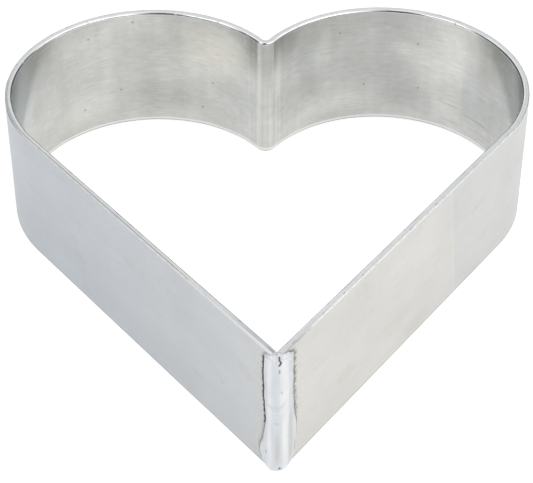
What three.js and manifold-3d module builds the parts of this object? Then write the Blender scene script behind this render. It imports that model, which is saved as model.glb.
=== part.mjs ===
// Heart cake ring: a strip of aluminium sheet bent into a heart and closed by a weld at the point.
// Millimetres, +Z up, +X across the lobes, +Y from the welded point towards the cleft.
// The origin ends up under the middle of the ring, on the surface that it stands on.

import * as THREE from "three";
import { mergeVertices } from "three/addons/utils/BufferGeometryUtils.js";
import Module from "manifold-3d";

// Sizes of the bent strip
const OUTER_WIDTH = 150; // across the two lobes
const OUTER_LENGTH = 155; // from the lobes to the corner where the two outer faces would meet
const RING_HEIGHT = 40;
const SHEET = 2;
const CLEFT_DEPTH = 17.2; // from the lobes down to the bottom of the cleft, on the outer face
const CLEFT_BEND_RADIUS = 1.2; // inside radius of the bend, on the outer face
const EDGE_ROLL = 0.7; // shoulder that the shear rolls over along both edges of the inner face
const ROOT_GAP = 0.15; // between the strip's two ends where they come closest

// Sizes of the weld
const BEAD_LEG = 3.6; // how far the bead covers each outer face, from the end of the strip
const BEAD_CROWN = 1.5; // how far the bead stands in front of the strip's two ends
const BEAD_LEFT_DROP = 1.7; // the bead's left-hand toe starts this far below the top rim
const BEAD_RIGHT_DROP = 1.3; // and its right-hand toe this far
const BEAD_END_ROUND = 1.6; // height over which the bead's start swells to its full width
const BEAD_START_SHARE = 0.82; // width of the bead's start, as a share of its full width
const BEAD_FOOT_SHARE = 0.75; // width of the bead's foot, as a share of its full width
const BEAD_FOOT_HEIGHT = 6; // height over which the foot widens
const BEAD_BULGE = 0.55; // extra half width where the bead ran hottest
const BEAD_BULGE_HEIGHT = 11; // height of that place above the bottom edge
const BEAD_BULGE_SPAN = 8; // height over which the bulge fades
const WELD_CLEARANCE = 0.3; // between the filler metal and the strip

// Fineness of the facets
const ARC_STEP = THREE.MathUtils.degToRad(5);
const ROLL_STEPS = 2;
const BEAD_STEP = 1.6;

// Plan of the outer face, with the corner where the two straight walls would meet at (0, 0)
const halfWidth = OUTER_WIDTH / 2;
const lobeRadius = halfWidth + CLEFT_DEPTH - Math.sqrt(2 * CLEFT_DEPTH * (halfWidth + CLEFT_BEND_RADIUS));
const lobeX = halfWidth - lobeRadius;
const lobeY = OUTER_LENGTH - lobeRadius;
const cleftY = OUTER_LENGTH - CLEFT_DEPTH + CLEFT_BEND_RADIUS;
const cleftAngle = Math.atan2(cleftY - lobeY, lobeX);
const wallAngle = Math.atan2(lobeX, lobeY) + Math.asin(lobeRadius / Math.hypot(lobeX, lobeY));

// Directions of the right-hand straight wall: along it from the point, and square out of its outer face
const along = new THREE.Vector2(Math.sin(wallAngle), Math.cos(wallAngle));
const outward = new THREE.Vector2(Math.cos(wallAngle), -Math.sin(wallAngle));
const endAt = SHEET / Math.tan(wallAngle) + ROOT_GAP / 2 / Math.sin(wallAngle);

function onWall(distance, offset) {
  return along.clone().multiplyScalar(distance).addScaledVector(outward, offset);
}

function mirrored(point) {
  return new THREE.Vector2(-point.x, point.y);
}

function arc(x, y, radius, from, to) {
  const curve = new THREE.EllipseCurve(x, y, radius, radius, from, to, to < from);
  return curve.getPoints(Math.ceil(Math.abs(to - from) / ARC_STEP));
}

// The right-hand lobe, with a point where it is widest and one where it is farthest back
function lobeArc(radius) {
  const turns = [-wallAngle, 0, Math.PI / 2, Math.PI - cleftAngle];
  const stretches = turns.slice(1).map((to, index) => arc(lobeX, lobeY, radius, turns[index], to));
  return stretches.flatMap((points, index) => (index === 0 ? points : points.slice(1)));
}

// One face of the strip seen from above, from the right-hand end round to the left-hand end.
// depth is how far the face lies inside the outer face, so 0 is the outer face itself.
function faceLine(depth) {
  const rightEnd = onWall(endAt, -depth);
  const lobe = lobeArc(lobeRadius - depth);
  const cleft = arc(0, cleftY, CLEFT_BEND_RADIUS + depth, -cleftAngle, cleftAngle - Math.PI);
  const leftLobe = lobe.map(mirrored).reverse();
  return [rightEnd, ...lobe, ...cleft.slice(1, -1), ...leftLobe, mirrored(rightEnd)];
}

function stripOutline(innerDepth) {
  return [...faceLine(0), ...faceLine(innerDepth).reverse()];
}

// Levels of the strip from the bottom edge to the top rim. Each says how far up it is and how deep the
// inner face lies there, so that the rolled shoulders are quarter rounds.
function stripLevels() {
  const shoulder = [];
  for (let step = 0; step <= ROLL_STEPS; step += 1) {
    const turn = ((Math.PI / 2) * step) / ROLL_STEPS;
    const rise = EDGE_ROLL * (1 - Math.cos(turn));
    const innerDepth = SHEET - EDGE_ROLL * (1 - Math.sin(turn));
    shoulder.push({ rise, innerDepth });
  }
  const bottom = shoulder.map(({ rise, innerDepth }) => ({ z: rise, innerDepth }));
  const top = shoulder.map(({ rise, innerDepth }) => ({ z: RING_HEIGHT - rise, innerDepth })).reverse();
  return [...bottom, ...top];
}

// The plan is extruded with one step per level, then each level's points go to that level's own outline
function stripGeometry() {
  const levels = stripLevels();
  const plan = stripOutline(SHEET);
  const steps = levels.length - 1;
  const geometry = new THREE.ExtrudeGeometry(new THREE.Shape(plan), { depth: steps, steps, bevelEnabled: false });
  const keyOf = (x, y) => `${Math.fround(x)} ${Math.fround(y)}`;
  const placeInPlan = new Map(plan.map((point, index) => [keyOf(point.x, point.y), index]));
  const outlines = levels.map(({ innerDepth }) => stripOutline(innerDepth));
  const position = geometry.getAttribute("position");
  for (let vertex = 0; vertex < position.count; vertex += 1) {
    const level = Math.round(position.getZ(vertex));
    const index = placeInPlan.get(keyOf(position.getX(vertex), position.getY(vertex)));
    const point = outlines[level][index];
    position.setXYZ(vertex, point.x, point.y, levels[level].z);
  }
  return geometry;
}

// Plan of the bead: an arc from toe to toe over the strip's ends, and back to the root between them
const root = onWall(SHEET / Math.tan(wallAngle), -SHEET);
const toe = onWall(endAt + BEAD_LEG, 0);
const noseY = onWall(endAt, 0).y - BEAD_CROWN;
const crownHeight = toe.y - noseY;
const crownRadius = (crownHeight ** 2 + toe.x ** 2) / (2 * crownHeight);
const crownY = noseY + crownRadius;
const toeAngle = Math.atan2(toe.y - crownY, toe.x);

function beadOutline() {
  const crown = arc(0, crownY, crownRadius, -Math.PI - toeAngle, toeAngle);
  return new THREE.Shape([...crown, new THREE.Vector2(0, root.y)]);
}

// Height of the bead's start, which slants from toe to toe
function beadTop(x) {
  const across = (x + toe.x) / (2 * toe.x);
  return RING_HEIGHT - THREE.MathUtils.lerp(BEAD_LEFT_DROP, BEAD_RIGHT_DROP, across);
}

// Size of the bead's rounded start at a height, as a share of its plan
function startShare(z, top) {
  const started = Math.min(1, (top - z) / BEAD_END_ROUND);
  const swelling = Math.sqrt(1 - (1 - started) ** 2);
  return BEAD_START_SHARE + (1 - BEAD_START_SHARE) * swelling;
}

// Width of the bead at a height, as a share of its plan
function widthShare(z) {
  const belowFoot = Math.max(0, 1 - z / BEAD_FOOT_HEIGHT);
  const foot = (1 - BEAD_FOOT_SHARE) * belowFoot ** 2;
  const fromBulge = (z - BEAD_BULGE_HEIGHT) / BEAD_BULGE_SPAN;
  const bulge = (BEAD_BULGE / toe.x) * Math.exp(-fromBulge * fromBulge);
  return 1 - foot + bulge;
}

function beadGeometry() {
  const steps = Math.ceil(RING_HEIGHT / BEAD_STEP);
  const geometry = new THREE.ExtrudeGeometry(beadOutline(), { depth: 1, steps, bevelEnabled: false });
  const position = geometry.getAttribute("position");
  for (let vertex = 0; vertex < position.count; vertex += 1) {
    const top = beadTop(position.getX(vertex));
    const z = position.getZ(vertex) * top;
    const start = startShare(z, top);
    const width = widthShare(z);
    const x = position.getX(vertex) * width * start;
    const widened = noseY + (position.getY(vertex) - noseY) * width;
    const y = root.y + (widened - root.y) * start;
    position.setXYZ(vertex, x, y, z);
  }
  return geometry;
}

// The room that one straight wall takes out of the bead, with the clearance all round it
function wallRoom(mirrorWall) {
  const from = endAt - WELD_CLEARANCE;
  const to = endAt + 2 * BEAD_LEG + SHEET;
  const front = WELD_CLEARANCE;
  const back = -SHEET - WELD_CLEARANCE;
  const corners = [onWall(from, front), onWall(to, front), onWall(to, back), onWall(from, back)];
  const outline = new THREE.Shape(mirrorWall ? corners.map(mirrored) : corners);
  const depth = RING_HEIGHT + 2 * SHEET;
  const geometry = new THREE.ExtrudeGeometry(outline, { depth, bevelEnabled: false });
  return geometry.translate(0, 0, -SHEET);
}

// Cutting with solids
const wasm = await Module();
wasm.setup();

function toSolid(geometry) {
  const bare = geometry.clone();
  bare.deleteAttribute("normal");
  bare.deleteAttribute("uv");
  const merged = mergeVertices(bare);
  const vertProperties = new Float32Array(merged.getAttribute("position").array);
  const triVerts = new Uint32Array(merged.getIndex().array);
  return new wasm.Manifold(new wasm.Mesh({ numProp: 3, vertProperties, triVerts }));
}

function toGeometry(solid) {
  const mesh = solid.getMesh();
  const geometry = new THREE.BufferGeometry();
  geometry.setAttribute("position", new THREE.BufferAttribute(mesh.vertProperties, 3));
  geometry.setIndex(new THREE.BufferAttribute(mesh.triVerts, 1));
  geometry.computeVertexNormals();
  return geometry;
}

function heartBand() {
  const millFinish = new THREE.MeshStandardMaterial({ color: 0xcfd1d0, roughness: 0.38, metalness: 1 });
  const mesh = new THREE.Mesh(stripGeometry(), millFinish);
  mesh.name = "heart_band";
  return mesh;
}

function weldBead() {
  const whole = toSolid(beadGeometry());
  const rightWall = toSolid(wallRoom(false));
  const leftWall = toSolid(wallRoom(true));
  const weldMetal = new THREE.MeshStandardMaterial({ color: 0xe6e8ea, roughness: 0.3, metalness: 1 });
  const mesh = new THREE.Mesh(toGeometry(whole.subtract(rightWall).subtract(leftWall)), weldMetal);
  mesh.name = "weld_bead";
  return mesh;
}

// The ring, moved so that its footprint is centred on the origin
const ring = new THREE.Group();
ring.add(heartBand(), weldBead());
const extent = new THREE.Box3().setFromObject(ring);
ring.position.y = -(extent.min.y + extent.max.y) / 2;
ring.updateMatrixWorld(true);

export default ring;
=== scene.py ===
# %% [markdown]
# # Heart cake ring
# A strip of aluminium sheet is bent into a heart and closed by one weld at the point. This lesson dresses
# the plain CAD solids of that ring: it bends a new strip the way a workshop would, lays a rippled weld
# bead over the joint, and gives each face of the metal its own finish.

# %% Load the fixed frame
import math

import bmesh
import bpy
from mathutils import Matrix, Vector, noise


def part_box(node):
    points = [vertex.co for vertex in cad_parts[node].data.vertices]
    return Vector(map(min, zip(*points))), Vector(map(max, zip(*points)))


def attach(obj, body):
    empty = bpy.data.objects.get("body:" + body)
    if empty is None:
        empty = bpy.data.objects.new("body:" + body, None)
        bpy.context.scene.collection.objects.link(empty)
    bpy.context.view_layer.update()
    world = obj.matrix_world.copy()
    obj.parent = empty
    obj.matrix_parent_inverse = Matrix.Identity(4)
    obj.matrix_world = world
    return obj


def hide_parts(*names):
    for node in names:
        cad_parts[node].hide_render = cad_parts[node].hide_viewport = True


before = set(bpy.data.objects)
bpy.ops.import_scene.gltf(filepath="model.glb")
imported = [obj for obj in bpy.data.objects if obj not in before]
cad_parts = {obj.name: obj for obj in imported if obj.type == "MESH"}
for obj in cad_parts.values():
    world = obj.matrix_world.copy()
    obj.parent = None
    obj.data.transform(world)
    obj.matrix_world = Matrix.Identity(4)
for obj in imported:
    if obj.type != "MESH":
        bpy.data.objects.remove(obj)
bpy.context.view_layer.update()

# %% [markdown]
# ## The plan of the heart
# Seen from above, the outer face is two straight walls from the point, two round lobes that the walls
# touch, and a tight bend back between the lobes. The plan could be traced by eye, but a few sizes fix all
# of it, because the walls must be tangent to the lobes and the lobes to the bend. So it is worked out.
# Width, height and the farthest point back come from the CAD solid.

# %% Work out the plan
MM = 0.001
UP = Vector((0, 0, 1))
OUTER_LENGTH = 155 * MM  # from the lobes to the corner where the two outer faces would meet
SHEET = 2.0 * MM
CLEFT_DEPTH = 17.2 * MM  # from the lobes down to the bottom of the cleft
CLEFT_BEND = 1.2 * MM  # radius of the bend there, on the outer face
ROOT_GAP = 0.03 * MM  # between the strip's two ends

_, band_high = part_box("heart_band")
ring_height = band_high.z
half_width = band_high.x
corner = Vector((0, band_high.y - OUTER_LENGTH, 0))

lobe_radius = half_width + CLEFT_DEPTH - math.sqrt(2 * CLEFT_DEPTH * (half_width + CLEFT_BEND))
lobe_x = half_width - lobe_radius
lobe_y = band_high.y - lobe_radius
cleft_y = band_high.y - CLEFT_DEPTH + CLEFT_BEND
cleft_angle = math.atan2(cleft_y - lobe_y, lobe_x)
lobe_far = math.hypot(lobe_x, lobe_y - corner.y)
wall_angle = math.atan2(lobe_x, lobe_y - corner.y) + math.asin(lobe_radius / lobe_far)
wall_length = math.sqrt(lobe_far ** 2 - lobe_radius ** 2)
end_at = SHEET / math.tan(wall_angle) + ROOT_GAP / 2 / math.sin(wall_angle)
along = Vector((math.sin(wall_angle), math.cos(wall_angle), 0))
outward = Vector((math.cos(wall_angle), -math.sin(wall_angle), 0))
print("lobe radius in millimetres:", round(lobe_radius / MM, 2), "wall", round(wall_length / MM, 2))

# %% [markdown]
# ## The camera
# The photograph looks down at the point of the heart from about 40 degrees, and its upright sides stay
# almost parallel. A shifted lens would hold them parallel, but it would put the ring off centre in every
# other view. A long lens from farther away comes close without that, so a few named sizes place one here.

# %% Set up the camera
PICTURE_WIDTH = 533
SENSOR_WIDTH = 36.0
FOCAL_PIXELS = 1850
CAMERA_LEFT = 9.1 * MM
CAMERA_BEFORE_POINT = 321.3 * MM
CAMERA_HEIGHT = 344.9 * MM
CAMERA_PITCH = 0.6949
CAMERA_TURN = -0.0203
NEAREST_SEEN = 10 * MM
FARTHEST_SEEN = 50

camera_data = bpy.data.cameras.new("photo_camera")
camera_data.sensor_fit = "HORIZONTAL"
camera_data.sensor_width = SENSOR_WIDTH
camera_data.lens = FOCAL_PIXELS * SENSOR_WIDTH / PICTURE_WIDTH
camera_data.clip_start = NEAREST_SEEN
camera_data.clip_end = FARTHEST_SEEN
camera = bpy.data.objects.new("photo_camera", camera_data)
camera.location = (-CAMERA_LEFT, corner.y - CAMERA_BEFORE_POINT, CAMERA_HEIGHT)
camera.rotation_euler = (math.pi / 2 - CAMERA_PITCH, 0, CAMERA_TURN)
bpy.context.scene.collection.objects.link(camera)
bpy.context.scene.camera = camera
print("lens in millimetres:", round(camera_data.lens, 1))

# %% [markdown]
# ## The width of the weld
# The bead was laid by hand, so its two edges wander, and it starts raggedly just below the rim. The edges
# could be two drawn curves, but a plain width with a few swells and a little noise says the same in fewer
# numbers. The bead's mesh uses these functions, and so does the strip, whose metal is scorched along the
# edges.

# %% Edges of the weld
LEFT, RIGHT = -1, 1
EDGE_WANDER = 0.14 * MM
WANDER_LENGTH = 2.6 * MM
SIDE_SEED = 7.3  # keeps the two edges from wandering alike

# Each edge in millimetres: its plain distance from the middle, how far its foot draws in and over what
# height, and its swells, each with its extra width, its height above the floor and its span
WELD_EDGES = {
    LEFT: (3.1, (1.4, 2.2), ((0.95, 5.5, 3.9), (-0.4, 17.5, 5.0))),
    RIGHT: (4.1, (1.3, 3.2), ((0.9, 11.5, 7.0),)),
}

# How far below the rim the bead starts, at places across it, all in millimetres: first where its back lies
# on the strip, then on its skin
BACK_DROPS = ((-3.6, 2.4), (-3.1, 1.7), (-2.2, 0.6), (-1.6, 0.6), (-0.6, 1.1), (-0.1, 1.0), (0.2, 0.4),
              (1.7, 0.25), (2.6, 0.6), (3.6, 1.8), (4.2, 2.4))
SKIN_DROPS = ((-3.6, 2.5), (-3.1, 1.9), (-2.2, 1.0), (-1.5, 1.1), (-0.45, 2.4), (0.3, 1.4),
              (1.7, 0.8), (2.6, 1.0), (3.6, 2.0), (4.2, 2.5))


def hump(value, middle, span):
    return math.exp(-((value - middle) / span) ** 2)


def mix_to(start, end, share):
    return start + (end - start) * share


def ease(value, low, high):
    """0 below low, 1 above high and a smooth rise between."""
    share = min(1.0, max(0.0, (value - low) / (high - low)))
    return share * share * (3 - 2 * share)


def fade(value, low, high):
    """1 below low, 0 above high and a smooth fall between."""
    return 1 - ease(value, low, high)


def drop_at(drops, x):
    """Drop between the listed places, in metres."""
    inside = max(drops[0][0], min(drops[-1][0], x / MM))
    for (start, drop), (end, next_drop) in zip(drops, drops[1:]):
        if inside <= end:
            return MM * mix_to(drop, next_drop, ease(inside, start, end))


def weld_half_width(side, height):
    """Distance of the bead's edge from the middle of the point, along X."""
    plain, (draw, draw_height), swells = WELD_EDGES[side]
    half = plain * MM
    for extra, middle, span in swells:
        half += extra * MM * hump(height, middle * MM, span * MM)
    half -= draw * MM * max(0.0, 1 - height / (draw_height * MM)) ** 2
    return half + EDGE_WANDER * noise.noise(Vector((SIDE_SEED * side, 0, height / WANDER_LENGTH)))


def weld_edge_on_wall(side, height):
    """Distance of the bead's edge from the end of the strip, along the wall."""
    return weld_half_width(side, height) / math.sin(wall_angle) - end_at


middle_width = sum(weld_half_width(side, ring_height / 2) for side in (LEFT, RIGHT))
print("bead width half way up:", round(middle_width / MM, 2), "mm")

# %% [markdown]
# ## The section of the strip
# The sheet was sheared to width. The shear rolls the edges of one face over, here the inner face, and
# leaves the edges of the other face crisp. A bevel on the four corners of a rectangle gives exactly that
# section: wide and round inside, narrow outside. Only its outline is kept, ready to be swept along the
# plan.

# %% Cut the section
EDGE_ROLL = 0.7 * MM
ROLL_SEGMENTS = 8
CRISP_EDGE = 0.28 * MM
CRISP_SEGMENTS = 3
OUTER_ROWS = 40
INNER_ROWS = 12
SAME_PLACE = 1e-6  # a length too short to matter

strip_bm = bmesh.new()
strip_place = strip_bm.verts.layers.float_vector.new("strip")
facing = strip_bm.verts.layers.float_vector.new("facing")


def on_wall(distance, depth, height=0.0):
    return corner + along * distance - outward * depth + UP * height


def depth_in_sheet(vert):
    return -(vert.co - on_wall(end_at, 0)).dot(outward)


def round_corners(points, size, segments):
    bmesh.ops.bevel(strip_bm, geom=points, offset=size, segments=segments, profile=0.5,
                    affect="VERTICES", material=-1)


section_corners = [
    strip_bm.verts.new(on_wall(end_at, depth, height))
    for depth, height in ((0, 0), (SHEET, 0), (SHEET, ring_height), (0, ring_height))
]
strip_bm.faces.new(section_corners)
round_corners(section_corners[1:3], EDGE_ROLL, ROLL_SEGMENTS)
crisp_corners = [v for v in strip_bm.verts if (v.co - on_wall(end_at, 0, v.co.z)).length < SAME_PLACE]
round_corners(crisp_corners, CRISP_EDGE, CRISP_SEGMENTS)
for rows, depth in ((OUTER_ROWS, 0), (INNER_ROWS, SHEET)):
    tall = [e for e in strip_bm.edges
            if e.calc_length() > ring_height / 2 and abs(depth_in_sheet(e.verts[0]) - depth) < SAME_PLACE]
    bmesh.ops.subdivide_edges(strip_bm, edges=tall, cuts=rows - 1)
bmesh.ops.delete(strip_bm, geom=strip_bm.faces[:], context="FACES_ONLY")
for vert in strip_bm.verts:
    vert[strip_place] = (0, vert.co.z / MM, depth_in_sheet(vert) / MM)
    vert[facing] = outward
print("points in the section:", len(strip_bm.verts))

# %% [markdown]
# ## Bend the strip
# Spin sweeps the section: straight along the first wall, round a lobe, back round the cleft, round the
# other lobe and down the last wall. A curve with a bevel profile could do it in one go, but one spin step
# at a time lets each ring of points remember how far along the strip it lies, so that rolling lines and
# scorch marks can follow the metal round the bends.

# %% Sweep the section round the heart
STEP = 1.0 * MM
CLEFT_STEPS = 24

travelled = 0.0
turned = Matrix.Identity(3)
ring = strip_bm.verts[:] + strip_bm.edges[:]


def sweep(steps, step_length, centre=(0, 0, 0), step_angle=0.0, shift=(0, 0, 0)):
    global ring, travelled, turned
    for _ in range(steps):
        made = bmesh.ops.spin(strip_bm, geom=ring, cent=centre, axis=UP, dvec=shift, angle=step_angle,
                              steps=1)
        ring = made["geom_last"]
        travelled += step_length
        turned = Matrix.Rotation(step_angle, 3, "Z") @ turned
        for vert in ring:
            if isinstance(vert, bmesh.types.BMVert):
                vert[strip_place] = (travelled / MM, vert[strip_place].y, vert[strip_place].z)
                vert[facing] = turned @ outward


straight = wall_length - end_at
wall_steps = round(straight / STEP)
lobe_turn = math.pi - cleft_angle + wall_angle
lobe_steps = round(lobe_turn * lobe_radius / STEP)
lobe_step = (lobe_steps, lobe_radius * lobe_turn / lobe_steps)
cleft_turn = math.pi - 2 * cleft_angle
cleft_middle = CLEFT_BEND + SHEET / 2
home = Vector((along.x, -along.y, 0))

sweep(wall_steps, straight / wall_steps, shift=along * straight / wall_steps)
sweep(*lobe_step, (lobe_x, lobe_y, 0), lobe_turn / lobe_steps)
sweep(CLEFT_STEPS, cleft_middle * cleft_turn / CLEFT_STEPS, (0, cleft_y, 0), -cleft_turn / CLEFT_STEPS)
sweep(*lobe_step, (-lobe_x, lobe_y, 0), lobe_turn / lobe_steps)
sweep(wall_steps, straight / wall_steps, shift=home * straight / wall_steps)
bmesh.ops.holes_fill(strip_bm, edges=[e for e in strip_bm.edges if e.is_boundary], sides=0)
bmesh.ops.recalc_face_normals(strip_bm, faces=strip_bm.faces)
strip_length = travelled
print("strip length in millimetres:", round(strip_length / MM, 1), "faces", len(strip_bm.faces))

# %% [markdown]
# ## Marks of the workshop
# The sheet isn't perfect. The roller left faint flats up and down the lobes, and the press tool pinched
# the cleft. The shear left a ragged burr along the crisp outer edge of the right-hand wall. On the left
# that edge was filed: lightly along the wall, and to a broad flat near the weld. A bump in the material
# could only hint at such marks, so they are small moves of the swept points, and light catches them from
# all sides.

# %% Depth of the marks
ROLLER_MARK = 0.03 * MM
ROLLER_PITCH = 6.5 * MM
ROLLER_LENGTH = 55 * MM
LOBE_START = 8 * MM  # the flats come in over this stretch
TOOL_MARK = 0.04 * MM
TOOL_PITCH = 1.1 * MM
TOOL_LENGTH = 40 * MM
TOOL_REACH = 9.0 * MM
BURR = 0.14 * MM
BURR_PITCH = 2.2 * MM
BURR_SHARE = 0.1  # lifts the noise, so that a little more than half of the edge is ragged
BURR_CHANGE = 3  # per metre of height
FILED_REACH = 36 * MM
FILED_CURVE = 0.7
LIGHTLY_FILED = 0.32
LIGHT_FILING_RUN_IN = 25 * MM

# Each kind of mark reads its own layer of the noise
FLATS_LAYER, TOOL_LAYER, BURR_LAYER = 0, 5, 8


def mark_depth(distance, height):
    """How far the sheet is pressed in, by the distance from the nearer end of the strip."""
    on_lobe = min(1.0, max(0.0, (distance - straight) / LOBE_START))
    flats = noise.noise(Vector((distance / ROLLER_PITCH, height / ROLLER_LENGTH, FLATS_LAYER)))
    pinch = noise.noise(Vector((distance / TOOL_PITCH, height / TOOL_LENGTH, TOOL_LAYER)))
    pressed = ROLLER_MARK * on_lobe * (1 + flats)
    return pressed + TOOL_MARK * pinch * hump(distance, strip_length / 2, TOOL_REACH)


def burr_height(distance, height):
    ragged = noise.noise(Vector((distance / BURR_PITCH, BURR_CHANGE * height, BURR_LAYER)))
    return BURR * max(0.0, ragged + BURR_SHARE) if distance < straight else 0.0


def filed_share(distance):
    """How much the file took off the outer edge: all of it at the strip's left-hand end."""
    near_end = max(0.0, 1 - (strip_length - distance) / FILED_REACH) ** FILED_CURVE
    left_wall = strip_length - straight
    return max(near_end, LIGHTLY_FILED * ease(distance, left_wall - LIGHT_FILING_RUN_IN, left_wall))


deepest_flat = 2 * ROLLER_MARK
tallest_burr = BURR * (1 + BURR_SHARE)
print("flats up to", round(deepest_flat / MM, 3), "mm deep, burr up to", round(tallest_burr / MM, 3), "mm")

# %% Press the marks into the strip
EDGE_ZONE = 1.05 * CRISP_EDGE
FILED_DEPTH = 0.75 * MM
FILED_SLOPE = 0.5
FULLY_FLAT = 4  # the edge is quite flat where this many times the filed share is 1 or more

edge_points = 0
for vert in strip_bm.verts:
    distance, height, depth = vert[strip_place] * MM
    vert.co -= vert[facing] * mark_depth(min(distance, strip_length - distance), height)
    if depth < EDGE_ZONE and height > ring_height - EDGE_ZONE:
        turn = math.atan2(height - ring_height + CRISP_EDGE, CRISP_EDGE - depth)
        towards_rim = min(1.0, max(0.0, 2 * turn / math.pi))
        filed = filed_share(distance)
        flatness = min(1.0, FULLY_FLAT * filed)
        flat_width = max(CRISP_EDGE, FILED_DEPTH * filed)
        flat_depth = flat_width * towards_rim
        flat_drop = FILED_SLOPE * flat_width * (1 - towards_rim)
        raised = burr_height(distance, height) * (1 - towards_rim)
        vert.co += vert[facing] * (raised - flatness * (flat_depth - depth))
        vert.co.z += flatness * (ring_height - flat_drop - height)
        edge_points += 1
print("points of the crisp edge:", edge_points)

# %% [markdown]
# ## Which face gets which finish
# The rolling mill, the shear and the file each left their own surface. Faces could be picked by hand in
# edit mode, but each point knows how deep in the sheet and how high it lies, so a few comparisons sort
# them all. Edges between the burr and its neighbours stay sharp, so that the burr catches the light as a
# line.

# %% Sort the faces of the strip by finish
FINISHES = range(6)
OUTSIDE, INSIDE, RIM, SHOULDER, BURR_EDGE, CUT_END = FINISHES
TOUCH = 1e-4  # in millimetres


def finish_of(face):
    depths = [vert[strip_place].z for vert in face.verts]
    heights = [vert[strip_place].y for vert in face.verts]
    if len(face.verts) > 4:
        return CUT_END
    if max(heights) - min(heights) < TOUCH:
        return RIM
    if max(depths) < TOUCH:
        return OUTSIDE
    if min(depths) > SHEET / MM - TOUCH:
        return INSIDE
    return BURR_EDGE if max(depths) <= CRISP_EDGE / MM + TOUCH else SHOULDER


for face in strip_bm.faces:
    face.smooth = len(face.verts) == 4
    face.material_index = finish_of(face)
for edge in strip_bm.edges:
    finishes = {face.material_index for face in edge.link_faces}
    edge.smooth = len(finishes) == 1 or BURR_EDGE not in finishes
print("faces by finish:", [sum(f.material_index == i for f in strip_bm.faces) for i in FINISHES])

# %% [markdown]
# ## Distance from the weld
# Heat and soot fade with the distance from the bead, and the bead's edge wanders. A painted mask would
# have to be redone with every change of the edge. So each point of the strip measures its own distance
# from both edges, and the finish reads these numbers as an attribute.

# %% Measure how far each point of the strip lies from the weld
FAR_FROM_WELD = 25 * MM


def gap_to_weld(side, distance, height):
    """Distance from the bead's edge along the wall, or from its start above it. Negative under the bead."""
    beside = distance - weld_edge_on_wall(side, height)
    x = side * (end_at + distance) * math.sin(wall_angle)
    above = max(0.0, height - ring_height + drop_at(BACK_DROPS, x))
    beyond = math.hypot(max(0.0, beside), above)
    return min(FAR_FROM_WELD, beyond if beyond > 0 else beside)


from_weld = strip_bm.verts.layers.float_vector.new("from_weld")
for vert in strip_bm.verts:
    distance, height, _ = vert[strip_place] * MM
    right_gap = gap_to_weld(RIGHT, distance, height)
    left_gap = gap_to_weld(LEFT, strip_length - distance, height)
    vert[from_weld] = (right_gap / MM, left_gap / MM, 0)
covered = sum(min(vert[from_weld].xy) < 0 for vert in strip_bm.verts)
print("strip points under the bead:", covered)

# %% [markdown]
# ## Tools for the finishes
# Each finish is a small network of shader nodes. It could be wired by hand in the shader editor, but
# these helpers add a node or two each, so that a finish below reads like a recipe. Places on the strip
# are in millimetres: along it from the right-hand end, up it, and down into the sheet.

# %% Helpers that add one node
def add_node(tree, kind, inputs, **settings):
    """A node whose inputs are plain values or the outputs of other nodes."""
    made = tree.nodes.new(kind)
    for name, value in settings.items():
        setattr(made, name, value)
    for socket, value in inputs.items():
        if isinstance(value, bpy.types.NodeSocket):
            tree.links.new(value, made.inputs[socket])
        else:
            made.inputs[socket].default_value = value
    return made


def attribute(tree, name):
    return add_node(tree, "ShaderNodeAttribute", {}, attribute_name=name)


def split(tree, vector):
    """The X, Y and Z of a vector."""
    return add_node(tree, "ShaderNodeSeparateXYZ", {0: vector}).outputs


def maths(tree, operation, first, second=0.0):
    return add_node(tree, "ShaderNodeMath", {0: first, 1: second}, operation=operation).outputs[0]


def times(tree, first, second):
    return maths(tree, "MULTIPLY", first, second)


def between(tree, value, low, high, start=0.0, end=1.0):
    """A smooth step from start to end while the value goes from low to high."""
    inputs = {"Value": value, "From Min": low, "From Max": high, "To Min": start, "To Max": end}
    return add_node(tree, "ShaderNodeMapRange", inputs, interpolation_type="SMOOTHSTEP").outputs[0]


def blend(tree, amount, colour, other):
    mix = add_node(tree, "ShaderNodeMix", {0: amount, 6: colour, 7: other}, data_type="RGBA")
    return mix.outputs[2]


def tinted(tree, colour, tint):
    inputs = {0: 1.0, 6: colour, 7: tint}
    return add_node(tree, "ShaderNodeMix", inputs, data_type="RGBA", blend_type="MULTIPLY").outputs[2]


def stretched(tree, place, scale):
    return add_node(tree, "ShaderNodeVectorMath", {0: place, 1: scale}, operation="MULTIPLY").outputs[0]


# %% Helpers for amounts
def largest(tree, *amounts):
    result = amounts[0]
    for amount in amounts[1:]:
        result = maths(tree, "MAXIMUM", result, amount)
    return result


def away_from(tree, value, middle):
    return maths(tree, "ABSOLUTE", maths(tree, "SUBTRACT", value, middle))


def rise_and_fall(tree, value, rise, fall, peak=1.0):
    """From 0 to the peak while the value passes through the rise, and back to 0 through the fall."""
    return times(tree, between(tree, value, *rise), between(tree, value, *fall, peak, 0.0))


def weighted_sum(tree, parts):
    """0.5 plus each noise's swing about 0.5, times its weight."""
    total = 0.5
    for value, weight in parts:
        swing = times(tree, maths(tree, "SUBTRACT", value, 0.5), weight)
        total = maths(tree, "ADD", swing, total)
    return total


# %% Helpers for marks on the metal
NOISE_RANGE = (0.3, 0.7)  # most of a cloud's values lie between these
DAB_CORE = 0.15  # share of a dab's radius that has its full strength
SPECK_CORE = 0.35


def cloud(tree, place, scale, detail=3.0, rough=0.5):
    """Soft noise about 0.5, squeezed by a scale for each direction."""
    inputs = {"Vector": stretched(tree, place, scale), "Scale": 1.0, "Detail": detail, "Roughness": rough}
    return add_node(tree, "ShaderNodeTexNoise", inputs).outputs[0]


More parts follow.
